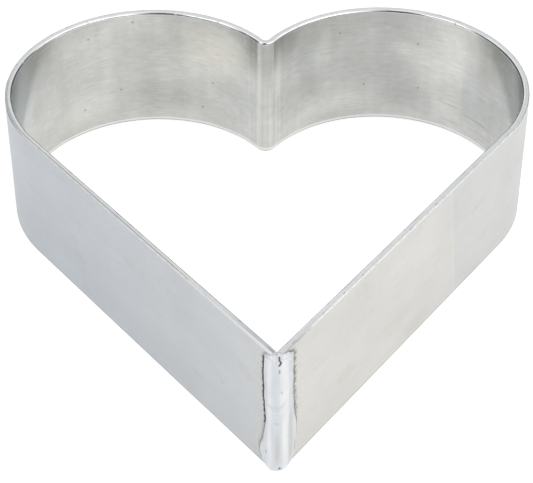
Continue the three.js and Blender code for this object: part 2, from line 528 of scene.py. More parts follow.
def dab(tree, place, middle, half_sizes, strength):
    """A soft oval on the strip: its middle along and up, its half sizes, and its strength in the middle."""
    wide, tall = half_sizes
    inputs = {0: stretched(tree, place, (1 / wide, 1 / tall, 0)), 1: (middle[0] / wide, middle[1] / tall, 0)}
    distance = add_node(tree, "ShaderNodeVectorMath", inputs, operation="DISTANCE").outputs["Value"]
    return between(tree, distance, DAB_CORE, 1.0, strength, 0.0)


def dabbed(tree, place, colour, dabs, tint):
    for each in dabs:
        colour = blend(tree, dab(tree, place, *each), colour, tint)
    return colour


def specks(tree, place, spacing, radius, share, strength):
    """Small round dots, about one for each cell of the spacing, of which only a share is kept."""
    inputs = {"Vector": place, "Scale": 1 / spacing}
    cells = add_node(tree, "ShaderNodeTexVoronoi", inputs, voronoi_dimensions="2D").outputs
    chance = add_node(tree, "ShaderNodeSeparateColor", {0: cells["Color"]}).outputs[0]
    reach = radius / spacing
    dot = between(tree, cells["Distance"], SPECK_CORE * reach, reach, strength, 0.0)
    return times(tree, dot, maths(tree, "LESS_THAN", chance, share))


# %% Helpers for a whole finish
def new_finish(name, roughness, anisotropic=0.0):
    """A bare metal. Rolling lines run along the strip, so they blur what it mirrors up and down."""
    material = bpy.data.materials.new(name)
    material.use_nodes = True
    tree = material.node_tree
    shader = tree.nodes["Principled BSDF"]
    shader.inputs["Metallic"].default_value = 1.0
    shader.inputs["Roughness"].default_value = roughness
    shader.inputs["Anisotropic"].default_value = anisotropic
    if anisotropic:
        upright = add_node(tree, "ShaderNodeCombineXYZ", {"Z": 1.0})
        tree.links.new(upright.outputs[0], shader.inputs["Tangent"])
    return material, tree, shader


def coat(tree, shader, colour, relief, relief_depth):
    """Give the shader its colour and a relief too fine to model."""
    tree.links.new(colour, shader.inputs["Base Color"])
    bump = add_node(tree, "ShaderNodeBump", {"Height": relief, "Strength": 1.0, "Distance": relief_depth})
    tree.links.new(bump.outputs[0], shader.inputs["Normal"])


def say_made(material):
    print("nodes in", material.name + ":", len(material.node_tree.nodes))
    return material


# %% [markdown]
# ## Mill finish inside
# The inner face is as the rolling mill left it: fine lines along the strip, cloudy patches where the
# rolls slid, a few dark pits, and upright streaks from the bending, which crowd together at the cleft.
# Layers of stretched noise give all of these, because each is only noise with its own length and height.
# Noise alone has no character of its own, though, so soft dabs of colour, some of them painted shade and
# painted highlights, pits and scratches are set one by one where the real ring has its plainest ones, and
# the ends of the lobes get a painted cool reflection.

# %% Colours and places of the marks inside
MILL_DARK = (0.41, 0.415, 0.40, 1)
MILL_LIGHT = (0.69, 0.69, 0.665, 1)
MILL_WARM = (0.72, 0.695, 0.63, 1)
MILL_BLUE = (0.43, 0.45, 0.465, 1)
MILL_COOL_REFLECTION = (0.66, 0.70, 0.715, 1)
MILL_SCRATCH = (0.38, 0.34, 0.27, 1)
MILL_PAINTED_HIGHLIGHT = (0.80, 0.81, 0.80, 1)
PIT_COLOUR = (0.16, 0.15, 0.14, 1)

# Soft dabs: middle along and up the strip, half sizes, strength, all in millimetres but the last
WARM_DABS = (((260, 30.5), (18, 12), 0.6), ((305, 6), (14, 6), 0.25), ((216.5, 31), (3, 7), 0.3))
BLUE_DABS = (((224, 25), (5, 9), 0.45), ((249, 14), (8, 12), 0.4))
# Dark dabs are partly darker metal and partly painted shade, such as the one beside the cleft. Light dabs
# are partly paler metal and partly painted highlights, such as the one beside the cleft.
DARK_AND_SHADE_DABS = (((279, 11), (20, 9), 0.6), ((285, 22), (14, 13), 0.5), ((287, 31), (12, 9), 0.35),
             ((255, 17), (9, 7), 0.4), ((245.5, 35), (3, 5), 0.5), ((229.5, 35.5), (3, 5), 0.6),
             ((226, 29), (6, 8), 0.3), ((222, 17), (9, 9), 0.65), ((205, 20), (18, 15), 0.7),
             ((193, 29), (12, 12), 0.45), ((192, 18), (12, 10), 0.7), ((190, 10), (11, 8), 0.65),
             ((161, 26), (8, 8), 0.45), ((239.6, 31), (1.9, 14), 0.45))
LIGHT_AND_HIGHLIGHT_DABS = (((211, 8), (9, 5), 0.3), ((221, 6), (10, 4), 0.25), ((190.5, 27), (6, 4), 0.3),
              ((175, 8), (7, 6), 0.4), ((319, 18), (9, 10), 0.35), ((306, 9), (14, 7), 0.4),
              ((253, 33), (8, 6), 0.4), ((236.2, 29), (3.2, 13), 0.9), ((244.5, 24), (3, 7), 0.45))
# Painted cool reflection on the far ends of the lobes
COOL_REFLECTION_DABS = (((341, 31), (23, 22), 1.0), ((139, 31), (21, 22), 0.75))
SCRATCHES = (((162, 8.7), (11, 0.6), 0.55), ((173, 10), (6, 0.5), 0.4), ((172, 4), (6, 0.5), 0.35),
             ((160, 5), (8, 0.5), 0.3))

# Dark dots of dirt in the sheet: along and up the strip in millimetres
PITS = ((292, 13), (305, 9), (265, 7), (261, 17), (287, 37), (302, 34), (211.5, 33), (186, 29), (185, 13),
        (203, 13))
PIT_SIZE = (0.55, 0.55)
PIT_STRENGTH = 0.6

# The rolls stopped here for a moment, and left an upright edge between a light and a bluish stretch
ROLL_STOP = 169.5
BEFORE_STOP = ((164, 14), (13, 14), 0.6)
AFTER_STOP = ((173, 30), (9, 14), 0.6)
print("marks set by hand inside:", sum(map(len, (WARM_DABS, BLUE_DABS, DARK_AND_SHADE_DABS, LIGHT_AND_HIGHLIGHT_DABS, COOL_REFLECTION_DABS,
                                                 SCRATCHES, PITS))))

# %% Make the mill finish
MILL_ROUGHNESS = (0.28, 0.23)
MILL_RELIEF = 0.006 * MM

# Distance from the middle of the cleft over which the tool's marks end and the rolling lines begin
TOOL_MARKS_END = (2.0, 14.0)
ROLLING_LINES_BEGIN = (2.0, 7.0)

# Heights of a painted highlight, a light stripe just above the bottom edge
HIGHLIGHT_FROM = (0.7, 0.9)
HIGHLIGHT_TO = (1.1, 1.6)


def roll_stop(tree, place, distance, colour):
    before = between(tree, distance, ROLL_STOP - 0.8, ROLL_STOP + 0.8, 1.0, 0.0)
    after = between(tree, distance, ROLL_STOP - 4.0, ROLL_STOP + 2.0)
    bluish = times(tree, before, dab(tree, place, *BEFORE_STOP))
    colour = blend(tree, bluish, colour, MILL_BLUE)
    pale = times(tree, after, dab(tree, place, *AFTER_STOP))
    return blend(tree, pale, colour, MILL_LIGHT)


def mill_finish():
    material, tree, shader = new_finish("mill_inside", 0.25, 0.9)
    place = attribute(tree, "strip").outputs["Vector"]
    distance, height, _ = split(tree, place)
    from_cleft = away_from(tree, distance, strip_length / MM / 2)

    patches = cloud(tree, place, (0.05, 0.07, 0), 2.0, 0.4)
    streaks = cloud(tree, place, (0.2, 0.012, 0), 2.0)
    tool_marks = cloud(tree, place, (0.75, 0.01, 0), 3.0)
    tool_weight = between(tree, from_cleft, *TOOL_MARKS_END, 1.2, 0.0)
    tone = weighted_sum(tree, ((patches, 0.6), (streaks, 0.4), (tool_marks, tool_weight)))
    colour = blend(tree, tone, MILL_DARK, MILL_LIGHT)
    for tint, dabs in ((MILL_WARM, WARM_DABS), (MILL_BLUE, BLUE_DABS), (MILL_DARK, DARK_AND_SHADE_DABS),
                       (MILL_LIGHT, LIGHT_AND_HIGHLIGHT_DABS), (MILL_COOL_REFLECTION, COOL_REFLECTION_DABS)):
        colour = dabbed(tree, place, colour, dabs, tint)
    colour = roll_stop(tree, place, distance, colour)

    lines = cloud(tree, place, (0.16, 2.0, 0), 1.0)
    line_weight = between(tree, from_cleft, *ROLLING_LINES_BEGIN, 0.022, 0.22)
    mottle = cloud(tree, place, (0.35, 0.5, 0), 3.0, 0.6)
    grain = weighted_sum(tree, ((lines, line_weight), (mottle, 0.22)))
    colour = tinted(tree, colour, maths(tree, "ADD", grain, 0.5))
    colour = dabbed(tree, place, colour, SCRATCHES, MILL_SCRATCH)

    pits = [dab(tree, place, pit, PIT_SIZE, PIT_STRENGTH) for pit in PITS]
    dirt = specks(tree, place, spacing=5.5, radius=0.3, share=0.3, strength=0.25)
    colour = blend(tree, largest(tree, dirt, *pits), colour, PIT_COLOUR)
    # Painted highlight: a light stripe just above the bottom edge
    bottom_highlight = rise_and_fall(tree, height, HIGHLIGHT_FROM, HIGHLIGHT_TO, 0.8)
    colour = blend(tree, bottom_highlight, colour, MILL_PAINTED_HIGHLIGHT)
    tree.links.new(between(tree, patches, *NOISE_RANGE, *MILL_ROUGHNESS), shader.inputs["Roughness"])
    coat(tree, shader, colour, lines, MILL_RELIEF)
    return material


mill_inside = say_made(mill_finish())

# %% [markdown]
# ## Soot and painted shade beside the weld
# The torch left a warm tint and fine spatter on the outer face near the bead. On the right there is
# feathered soot on the upper part, a thin dark line and a burnt spot. On the left there is an undercut of
# uneven width with one short break, its dark line soot with painted shade in its groove, a grey halo and a
# thin line down to the foot. All of it is drawn from the measured distance to the bead's edge, roughened by
# noise, so that it always hugs the bead.

# %% Recipe for the soot and painted shade
HEAT_COLOUR = (0.64, 0.615, 0.56, 1)
SOOT_AND_SHADE_COLOUR = (0.035, 0.031, 0.027, 1)
HEAT_FRAY = 1.6  # millimetres by which the edge of the warm tint wanders
FEATHER_LENGTH = 1.3
BURNT_SPOT = ((3.95, 26.9), (0.65, 0.85), 0.9)

# Heights in millimetres: where soot and undercut begin, where the undercut turns paler, and its break
SOOT_FROM = (13.0, 18.0)
UNDERCUT_FROM = (14.6, 15.4)
UNDERCUT_PALER = (37.2, 38.2)
UNDERCUT_BREAK = 18.4


def right_soot(tree, place, gap, height):
    feathers = between(tree, cloud(tree, place, (0.7, 1.3, 0), 4.0, 0.6), 0.36, 0.62, 0.0, FEATHER_LENGTH)
    spread = maths(tree, "SUBTRACT", gap, feathers)
    soot = times(tree, between(tree, spread, -0.7, 0.9, 0.66, 0.0), between(tree, height, *SOOT_FROM))
    thin_line = between(tree, gap, 0.2, 0.6, 0.6, 0.0)
    return largest(tree, soot, thin_line, dab(tree, place, *BURNT_SPOT))


def left_undercut(tree, place, gap, height):
    wander = between(tree, cloud(tree, place, (0.0, 0.9, 0), 3.0, 0.6), 0.35, 0.65, -0.05, 0.35)
    # The undercut's dark line is soot together with painted shade in its groove
    undercut = between(tree, maths(tree, "SUBTRACT", gap, wander), 0.4, 0.62, 0.95, 0.0)
    paler = between(tree, height, *UNDERCUT_PALER, 1.0, 0.35)
    unbroken = between(tree, away_from(tree, height, UNDERCUT_BREAK), 0.1, 0.3)
    for share in (paler, unbroken, between(tree, height, *UNDERCUT_FROM)):
        undercut = times(tree, undercut, share)
    halo = between(tree, gap, 0.3, 1.6, 0.22, 0.0)
    low_line = between(tree, gap, 0.25, 0.5, 0.55, 0.0)
    return largest(tree, undercut, halo, low_line)


def weld_soot_and_shade(tree, place, height, colour):
    right, left, _ = split(tree, attribute(tree, "from_weld").outputs["Vector"])
    nearest = maths(tree, "MINIMUM", right, left)
    fray = cloud(tree, place, (0.35, 0.5, 0), 5.0, 0.65)
    frayed = maths(tree, "ADD", nearest, between(tree, fray, *NOISE_RANGE, -HEAT_FRAY, HEAT_FRAY))
    heated = between(tree, frayed, 0.0, 2 * HEAT_FRAY, 0.45, 0.0)
    colour = blend(tree, heated, colour, HEAT_COLOUR)
    dots = specks(tree, place, spacing=1.1, radius=0.32, share=0.5, strength=1.0)
    spatter = times(tree, dots, between(tree, nearest, 2.0, 5.0, 0.16, 0.0))
    right_marks = right_soot(tree, place, right, height)
    left_marks = left_undercut(tree, place, left, height)
    return blend(tree, largest(tree, spatter, right_marks, left_marks), colour, SOOT_AND_SHADE_COLOUR)


# %% [markdown]
# ## Satin outside
# The outer face is duller and more even than the inner one. It still has a soft grain, faint smudges from
# handling, a slanted line where the roller began on the right, and a foot that is darker towards the bottom.
# One flat colour would look like plastic, so again noise gives the grain, and the tint drifts from warm
# on the right-hand wall to cool on the left, as the light of the room made it.

# %% Make the satin finish
SATIN_DARK = (0.55, 0.56, 0.57, 1)
SATIN_LIGHT = (0.68, 0.69, 0.70, 1)
SMUDGE_COLOUR = (0.50, 0.47, 0.43, 1)
DULL_FOOT = (0.42, 0.43, 0.44, 1)
RIGHT_TINT = (1.05, 1.02, 0.97, 1)
RIGHT_BEND_TINT = (1.0, 0.995, 0.965, 1)
LEFT_TINT = (0.85, 0.875, 0.90, 1)
LEFT_END_TINT = (0.94, 0.945, 0.945, 1)
SATIN_ROUGHNESS = (0.42, 0.5)
SATIN_RELIEF = 0.01 * MM
DULL_UP_TO = (0.3, 1.1)  # height in millimetres over which the dull foot ends

# Places along the strip in millimetres: the roller's line and its slant, and where the tints change
ROLLER_START = 83.7
ROLLER_SLANT = 0.15
TO_LEFT_TINT = (110, 370)
TO_LEFT_END_TINT = (390, 480)

# Marks of handling: middle along and up the strip, half sizes, strength, all in millimetres but the last
HANDLING_MARKS = (((460.5, 15.5), (0.7, 0.9), 0.6), ((63.5, 4), (9, 4), 0.18), ((29, 11.5), (6, 4), 0.2),
                  ((52, 12), (12, 5), 0.12))


def satin_finish():
    material, tree, shader = new_finish("satin_outside", 0.45, 0.5)
    place = attribute(tree, "strip").outputs["Vector"]
    distance, height, _ = split(tree, place)

    fine = cloud(tree, place, (1.3, 1.6, 0), 5.0, 0.6)
    lines = cloud(tree, place, (0.05, 1.0, 0), 4.0)
    patches = cloud(tree, place, (0.035, 0.05, 0), 3.0)
    tone = weighted_sum(tree, ((fine, 0.35), (lines, 0.4), (patches, 1.0)))
    colour = blend(tree, tone, SATIN_DARK, SATIN_LIGHT)
    smears = between(tree, cloud(tree, place, (0.09, 0.13, 0), 5.0, 0.65), 0.56, 0.72, 0.0, 0.25)
    mottle = between(tree, cloud(tree, place, (0.4, 0.5, 0), 4.0, 0.6), 0.54, 0.7, 0.0, 0.14)
    dots = specks(tree, place, spacing=18.0, radius=0.45, share=0.4, strength=0.5)
    for smudge in (smears, mottle, dots):
        colour = blend(tree, smudge, colour, SMUDGE_COLOUR)
    colour = dabbed(tree, place, colour, HANDLING_MARKS, SMUDGE_COLOUR)

    slanted = maths(tree, "ADD", distance, times(tree, height, ROLLER_SLANT))
    on_line = between(tree, away_from(tree, slanted, ROLLER_START), 0.2, 1.2, 0.22, 0.0)
    colour = blend(tree, on_line, colour, SATIN_LIGHT)
    past_line = between(tree, slanted, ROLLER_START - 0.4, ROLLER_START + 0.4)
    tint = blend(tree, past_line, RIGHT_TINT, RIGHT_BEND_TINT)
    tint = blend(tree, between(tree, distance, *TO_LEFT_TINT), tint, LEFT_TINT)
    tint = blend(tree, between(tree, distance, *TO_LEFT_END_TINT), tint, LEFT_END_TINT)
    colour = tinted(tree, colour, tint)
    colour = blend(tree, between(tree, height, *DULL_UP_TO, 0.5, 0.0), colour, DULL_FOOT)
    colour = weld_soot_and_shade(tree, place, height, colour)
    tree.links.new(between(tree, fine, *NOISE_RANGE, *SATIN_ROUGHNESS), shader.inputs["Roughness"])
    coat(tree, shader, colour, fine, SATIN_RELIEF)
    return material


satin_outside = say_made(satin_finish())

# %% [markdown]
# ## Sheared rim and cut ends
# The flat of the rim was sheared, so it has short drag lines across a grey face. Along the left-hand wall
# a dark line of painted shade runs along it, small nicks follow the burr, and beside the weld on the left
# the heat stained it. Such marks could be cut into the mesh, but they are finer than its points, so they are
# drawn by depth in the sheet. The strip's two cut ends hide in the weld, and get a plain sawn face.

# %% Make the rim and the cut ends
RIM_DARK = (0.66, 0.68, 0.69, 1)
RIM_LIGHT = (0.88, 0.89, 0.89, 1)
RIM_SHADE_AND_NICK = (0.2, 0.2, 0.2, 1)
RIM_SCORCHED = (0.50, 0.55, 0.57, 1)
RIM_BURNT = (0.26, 0.32, 0.36, 1)
SAWN_DARK = (0.78, 0.79, 0.80, 1)
SAWN_LIGHT = (0.9, 0.9, 0.9, 1)
SAWN_METALLIC = 0.4
SAWN_RELIEF = 0.01 * MM
RIM_RELIEF = 0.012 * MM
SHADE_LINE_STRENGTH = 0.62

# Where the painted shade line lies along the strip, and how deep in the sheet it and the nicks lie, in
# millimetres
SHADE_LINE_ALONG = ((330, 350), (438, 452))
SHADE_LINE_DEPTH = ((0.42, 0.52), (0.72, 0.82))
NICKED_DEPTH = ((0.2, 0.3), (0.5, 0.65))

# Distance from the left-hand end over which the heat's two stains fade
SCORCHED_TO = (6, 24)
BURNT_TO = (0.5, 3.5)


def rim_finish():
    material, tree, shader = new_finish("sheared_rim", 0.36)
    place = attribute(tree, "strip").outputs["Vector"]
    distance, _, depth = split(tree, place)
    drag = cloud(tree, place, (0.9, 0.6, 0.3), 2.0)
    patches = cloud(tree, place, (0.06, 0, 0.3), 3.0)
    tone = weighted_sum(tree, ((drag, 0.9), (patches, 0.9)))
    colour = blend(tree, tone, RIM_DARK, RIM_LIGHT)
    # A line of painted shade along the rim of the left-hand wall, and dark nicks by the burr
    left_wall = rise_and_fall(tree, distance, *SHADE_LINE_ALONG, SHADE_LINE_STRENGTH)
    shade_line = times(tree, rise_and_fall(tree, depth, *SHADE_LINE_DEPTH), left_wall)
    at_burr = rise_and_fall(tree, depth, *NICKED_DEPTH)
    nicked = between(tree, cloud(tree, place, (0.32, 0, 0), 3.0), 0.57, 0.63, 0.0, 0.5)
    colour = blend(tree, largest(tree, shade_line, times(tree, at_burr, nicked)), colour, RIM_SHADE_AND_NICK)
    to_end = maths(tree, "SUBTRACT", strip_length / MM, distance)
    colour = blend(tree, between(tree, to_end, *SCORCHED_TO, 0.7, 0.0), colour, RIM_SCORCHED)
    colour = blend(tree, between(tree, to_end, *BURNT_TO, 0.6, 0.0), colour, RIM_BURNT)
    coat(tree, shader, colour, drag, RIM_RELIEF)
    return material


def cut_end_finish():
    material, tree, shader = new_finish("cut_end", 0.6)
    place = add_node(tree, "ShaderNodeTexCoord", {}).outputs["Object"]
    sawn = cloud(tree, place, (300, 300, 3000), 3.0)
    shader.inputs["Metallic"].default_value = SAWN_METALLIC
    coat(tree, shader, blend(tree, sawn, SAWN_DARK, SAWN_LIGHT), sawn, SAWN_RELIEF)
    return material


sheared_rim = say_made(rim_finish())
cut_end = say_made(cut_end_finish())

# %% [markdown]
# ## Burr and rolled shoulder
# The crisp outer edge carries a bright burr, sooty next to the weld on the right and clean where it was
# filed on the left. The inner edge was rolled over by the shear and rubbed shiny, so it mirrors the whole
# room, but along the left-hand wall it is duller and smudged. Both edges are darker at the bottom: the
# burr's foot is simply darker, and the shoulder's is painted shade where it meets the floor. One shiny
# metal would do for a distant view. Close up, the edges are what makes the sheet look real.

# %% Make the burr and the shoulder
BURR_DARK = (0.74, 0.74, 0.74, 1)
BURR_LIGHT = (0.95, 0.95, 0.95, 1)
BURR_SOOTY = (0.42, 0.42, 0.42, 1)
BURR_DARK_FOOT = (0.45, 0.46, 0.47, 1)
FILED_METAL = (0.88, 0.88, 0.89, 1)
FILED_BLEND = 10  # millimetres over which the filed stretch comes in
SHOULDER_DARK = (0.72, 0.73, 0.74, 1)
SHOULDER_LIGHT = (0.92, 0.92, 0.92, 1)
SHOULDER_LEFT = (0.82, 0.82, 0.80, 1)
SHOULDER_SMUDGE = (0.36, 0.36, 0.34, 1)
SHOULDER_FOOT_SHADE = (0.36, 0.365, 0.37, 1)
SHOULDER_ROUGHNESS = (0.2, 0.12)
LEFT_ROUGHER = 0.22
NICK_DEPTH = 4.0  # in heights of the rubbed relief
EDGE_RELIEF = 0.02 * MM

# Ranges in millimetres: along the strip where the soot ends and the duller left begins, and up it where
# the burr's darker foot and the shoulder's painted shade end
SOOTY_TO = (6, 16)
LEFT_FROM = (350, 380)
BURR_DARK_FOOT_TO = (0.5, 1.0)
SHOULDER_SHADE_TO = (0.55, 0.75)


def burr_finish():
    material, tree, shader = new_finish("burr_edge", 0.34)
    place = attribute(tree, "strip").outputs["Vector"]
    distance, height, _ = split(tree, place)
    ragged = cloud(tree, place, (0.6, 0.5, 0.5), 4.0, 0.6)
    colour = blend(tree, between(tree, ragged, 0.3, 0.55), BURR_DARK, BURR_LIGHT)
    colour = blend(tree, between(tree, distance, *SOOTY_TO, 0.8, 0.0), colour, BURR_SOOTY)
    colour = blend(tree, between(tree, height, *BURR_DARK_FOOT_TO, 0.8, 0.0), colour, BURR_DARK_FOOT)
    filed_from = (strip_length - FILED_REACH) / MM
    colour = blend(tree, between(tree, distance, filed_from, filed_from + FILED_BLEND), colour, FILED_METAL)
    coat(tree, shader, colour, ragged, EDGE_RELIEF)
    return material


def shoulder_finish():
    material, tree, shader = new_finish("rolled_shoulder", 0.16)
    place = attribute(tree, "strip").outputs["Vector"]
    distance, height, _ = split(tree, place)
    rub = cloud(tree, place, (0.12, 1.5, 1.5), 4.0)
    colour = blend(tree, between(tree, rub, 0.35, 0.6), SHOULDER_DARK, SHOULDER_LIGHT)
    on_left = between(tree, distance, *LEFT_FROM)
    colour = blend(tree, times(tree, on_left, 0.8), colour, SHOULDER_LEFT)
    smudged = between(tree, cloud(tree, place, (0.25, 0.5, 0.5), 4.0, 0.6), 0.52, 0.64, 0.0, 0.6)
    colour = blend(tree, times(tree, on_left, smudged), colour, SHOULDER_SMUDGE)
    # Painted shade at the shoulder's foot, where it meets the floor
    colour = blend(tree, between(tree, height, *SHOULDER_SHADE_TO, 0.9, 0.0), colour, SHOULDER_FOOT_SHADE)
    smooth = between(tree, rub, *NOISE_RANGE, *SHOULDER_ROUGHNESS)
    roughness = maths(tree, "ADD", smooth, times(tree, on_left, LEFT_ROUGHER))
    tree.links.new(roughness, shader.inputs["Roughness"])
    nicks = between(tree, cloud(tree, place, (0.4, 0, 0), 3.0, 0.6), 0.6, 0.67, 0.0, NICK_DEPTH)
    coat(tree, shader, colour, maths(tree, "SUBTRACT", rub, nicks), EDGE_RELIEF)
    return material


burr_edge = say_made(burr_finish())
rolled_shoulder = say_made(shoulder_finish())

# %% [markdown]
# ## The finished strip
# The mesh becomes an object that is shown in place of the CAD band. The band itself isn't changed. Flat and
# rounded faces meet all along the edges, where plain smooth shading would bend the light on the flats.
# Splitting the edges would cure that but open the mesh, so weighted normals do it instead.

# %% Make the strip an object
def finish_piece(bm, name, materials):
    mesh = bpy.data.meshes.new(name)
    bm.to_mesh(mesh)
    bm.free()
    for material in materials:
        mesh.materials.append(material)
    piece = bpy.data.objects.new(name, mesh)
    bpy.context.scene.collection.objects.link(piece)
    return piece


strip_finishes = [satin_outside, mill_inside, sheared_rim, rolled_shoulder, burr_edge, cut_end]
strip = finish_piece(strip_bm, "bent_strip", strip_finishes)
strip.modifiers.new("even_shading", "WEIGHTED_NORMAL").keep_sharp = True
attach(strip, "root")
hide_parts("heart_band")
print("strip faces:", len(strip.data.polygons))

# %% [markdown]
# ## The weld bead
# The bead is filler metal that was melted over the gap between the strip's ends. Its front is a bowed
# skin from edge to edge, and its back fills the gap. It could be sculpted, but the same few words can be
# said as a formula and changed later. A circle of points is stacked up the wall, and then each point is
# moved to its place: the front half of the circle to the skin, the back half to the metal that the bead
# lies on. The last few circles close in to make the ragged start.

# %% Stack the rings of the bead
BEAD_ACROSS = 96
BEAD_RINGS = 230
CAP_RINGS = 8

bead_bm = bmesh.new()
soot_and_shade_layer = bead_bm.verts.layers.float.new("soot")
stain_and_shade_layer = bead_bm.verts.layers.float.new("stain_and_shade")
start_layer = bead_bm.verts.layers.float.new("start")
circle = bmesh.ops.create_circle(bead_bm, segments=2 * BEAD_ACROSS, radius=1)
bmesh.ops.spin(bead_bm, geom=circle["verts"] + bead_bm.edges[:], axis=UP, dvec=UP, angle=0,
               steps=BEAD_RINGS + CAP_RINGS)
print("points in the bead:", len(bead_bm.verts))

# %% [markdown]
# ## Ripples, lumps and marks of the bead
# The torch was dabbed along, so half way up the skin has bowed ripples, and above them the bowed edge of
# a pool that set last. Lumps and upright ridges come from noise, and one lap lies along the left edge. A
# few pits and a crack near the start are pressed into the mesh. Soot, with painted shade in the pits, the
# crack and at the toes, and grey stain, with painted shade in the hollows and below the pool's edge and
# painted reflection in upright stripes, belong to the same places, so they are worked out together with the
# shape and kept on the points.

# %% Relief of the bead's skin
LUMP = 0.09 * MM
LUMP_HEIGHT = 5.0 * MM
RIDGE = 0.11 * MM
RIDGE_HEIGHT = 30 * MM
LUMPS_PER_HALF, RIDGES_PER_HALF = 2.4, 6.5
LUMP_LAYER, RIDGE_LAYER = 0, 3
RIPPLE = 0.05 * MM
RIPPLE_PITCH = 1.35 * MM
RIPPLE_BOW = 0.28 / MM
RIPPLE_UNEVEN = 1.5  # how far a lump shifts the ripples, in radians
RIPPLE_FAINT = 0.15  # share of the ripples that is left away from their middle
LAP = 0.05 * MM

# Middle and half size of the ripples and of the lap, in millimetres, but the lap's across as a share
RIPPLES_ACROSS, RIPPLES_UP = (0.3, 1.6), (21.0, 4.5)
LAP_ACROSS, LAP_UP = (-0.88, 0.10), (27.0, 12.0)


def bead_swell(x, across, height):
    """How far the skin stands out from its plain arc."""
    lumps = noise.noise(Vector((across * LUMPS_PER_HALF, height / LUMP_HEIGHT, LUMP_LAYER)))
    ridges = noise.noise(Vector((across * RIDGES_PER_HALF, height / RIDGE_HEIGHT, RIDGE_LAYER)))
    rippled = hump(height / MM, *RIPPLES_UP) * hump(x / MM, *RIPPLES_ACROSS)
    phase = 2 * math.pi * (height - RIPPLE_BOW * x * x) / RIPPLE_PITCH
    ripples = math.cos(phase + RIPPLE_UNEVEN * lumps) * (RIPPLE_FAINT + rippled)
    lap = hump(across, *LAP_ACROSS) * hump(height / MM, *LAP_UP)
    return LUMP * lumps + RIDGE * ridges + RIPPLE * ripples + LAP * lap


# %% Pits, soot and stains of the bead's skin
CRACK_DEPTH = 0.25 * MM
CRACK_MIDDLE, CRACK_SWING, CRACK_HALF_WIDTH = 0.66, 0.28, 0.2
CRACK_TOP, CRACK_FOOT = 38.5, (36.9, 37.3)
CRACK_WINDING = 2.9  # radians per millimetre
CRACK_STRENGTH = 1.5  # more than 1, so that its middle is evenly dark
POOL_STEP = 0.05 * MM
POOL_HEIGHT, POOL_EDGE = 22.6, 0.65
POOL_BOW_LEFT, POOL_BOW_RIGHT = 0.13, 0.4
POOL_MIDDLE, POOL_ENDS = -0.3, (2.0, 2.8)
# Painted shadow band along the pool's edge
POOL_EDGE_SHADE = 0.45
TOE_SOOT_AND_SHADE, TOE_ACROSS = 0.7, (0.965, 1.0)
SPOT_SOOT_NARROW = 0.8  # below 1, so that a spot's soot reaches past its pit

# Painted shade between the ripples and grey in one smudge: strength, then middle and half size in
# millimetres
RIPPLE_SHADE, RIPPLE_SHADE_UP = 0.4, (20.6, 2.2)
SMUDGE, SMUDGE_ACROSS, SMUDGE_UP = 0.8, (0.05, 0.6), (17.4, 0.45)
HOLLOW_SHARPNESS = 3

# Dark spots, their darkness soot with painted shade in the pit: across and up in millimetres, half width,
# half height, depth, darkness
SPOTS = (
    (0.6, 35.1, 0.2, 0.6, 0.25, 0.65),
    (1.25, 28.0, 0.22, 0.35, 0.12, 0.35),
    (0.72, 1.4, 0.27, 0.27, 0.40, 1.0),
    (-2.7, 6.7, 0.15, 0.45, 0.06, 0.4),
)

# Upright grey stripes of painted reflection: middle and half width across, heights over which they come in
# and go, strength
REFLECTED_STRIPES = ((0.14, 0.75, (0.5, 6.0), (8.0, 17.0), 0.85), (3.5, 0.55, (3.0, 6.0), (18.0, 21.0), 0.75))


def crack_at(across, up):
    """1 in the winding crack below the bead's start, and 0 beside it. Places are in millimetres."""
    middle = CRACK_MIDDLE + CRACK_SWING * math.sin(CRACK_WINDING * (CRACK_TOP - up))
    return min(1.0, CRACK_STRENGTH * hump(across, middle, CRACK_HALF_WIDTH)) * ease(up, *CRACK_FOOT)


def pool_edge_at(across, up):
    """1 on the bowed edge of the pool that set last."""
    rise = (POOL_BOW_LEFT if across < 0 else POOL_BOW_RIGHT) * across ** 2
    return hump(up, POOL_HEIGHT + rise, POOL_EDGE) * fade(abs(across - POOL_MIDDLE), *POOL_ENDS)


def stain_and_shade_at(across, up):
    """Painted reflection of the stripes, painted shade of the hollows between ripples, and grey of one
    smudge below them.
    """
    stripes = sum(strength * hump(across, middle, half) * ease(up, *coming) * fade(up, *going)
                  for middle, half, coming, going, strength in REFLECTED_STRIPES)
    bowed = (up - RIPPLE_BOW * MM * across ** 2) / (RIPPLE_PITCH / MM)
    hollows = (0.5 + 0.5 * math.cos(2 * math.pi * bowed)) ** HOLLOW_SHARPNESS
    shade = RIPPLE_SHADE * hollows * hump(across, *RIPPLES_ACROSS) * hump(up, *RIPPLE_SHADE_UP)
    smudge = SMUDGE * hump(across, *SMUDGE_ACROSS) * hump(up, *SMUDGE_UP)
    return stripes + shade + smudge


def bead_marks(x, height, across):
    """Depth of pits here, how dark the skin is from soot and painted shade, and how grey from stain, painted
    shade and painted reflection.
    """
    across_mm, up_mm = x / MM, height / MM
    crack = crack_at(across_mm, up_mm)
    pool_edge = pool_edge_at(across_mm, up_mm)
    pit_depth = CRACK_DEPTH * crack + POOL_STEP * pool_edge
    # The soot here is also painted shade: in the crack, in the pits and at the toes
    soot = max(crack, TOE_SOOT_AND_SHADE * ease(abs(across), *TOE_ACROSS))
    for spot_x, spot_up, half_across, half_up, depth, darkness in SPOTS:
        away = ((across_mm - spot_x) / half_across) ** 2 + ((up_mm - spot_up) / half_up) ** 2
        pit_depth += depth * MM * math.exp(-away)
        soot = max(soot, darkness * math.exp(-SPOT_SOOT_NARROW * away))
    return pit_depth, min(1.0, soot), min(1.0, stain_and_shade_at(across_mm, up_mm) + POOL_EDGE_SHADE * pool_edge)


# %% Front and back of the bead
BEAD_CROWN = 1.25 * MM
EDGE_CALM = 12  # the relief dies away this steeply towards the bead's edges

end_corner = on_wall(end_at, 0)
end_root = on_wall(end_at, SHEET)
nose_y = end_corner.y - BEAD_CROWN


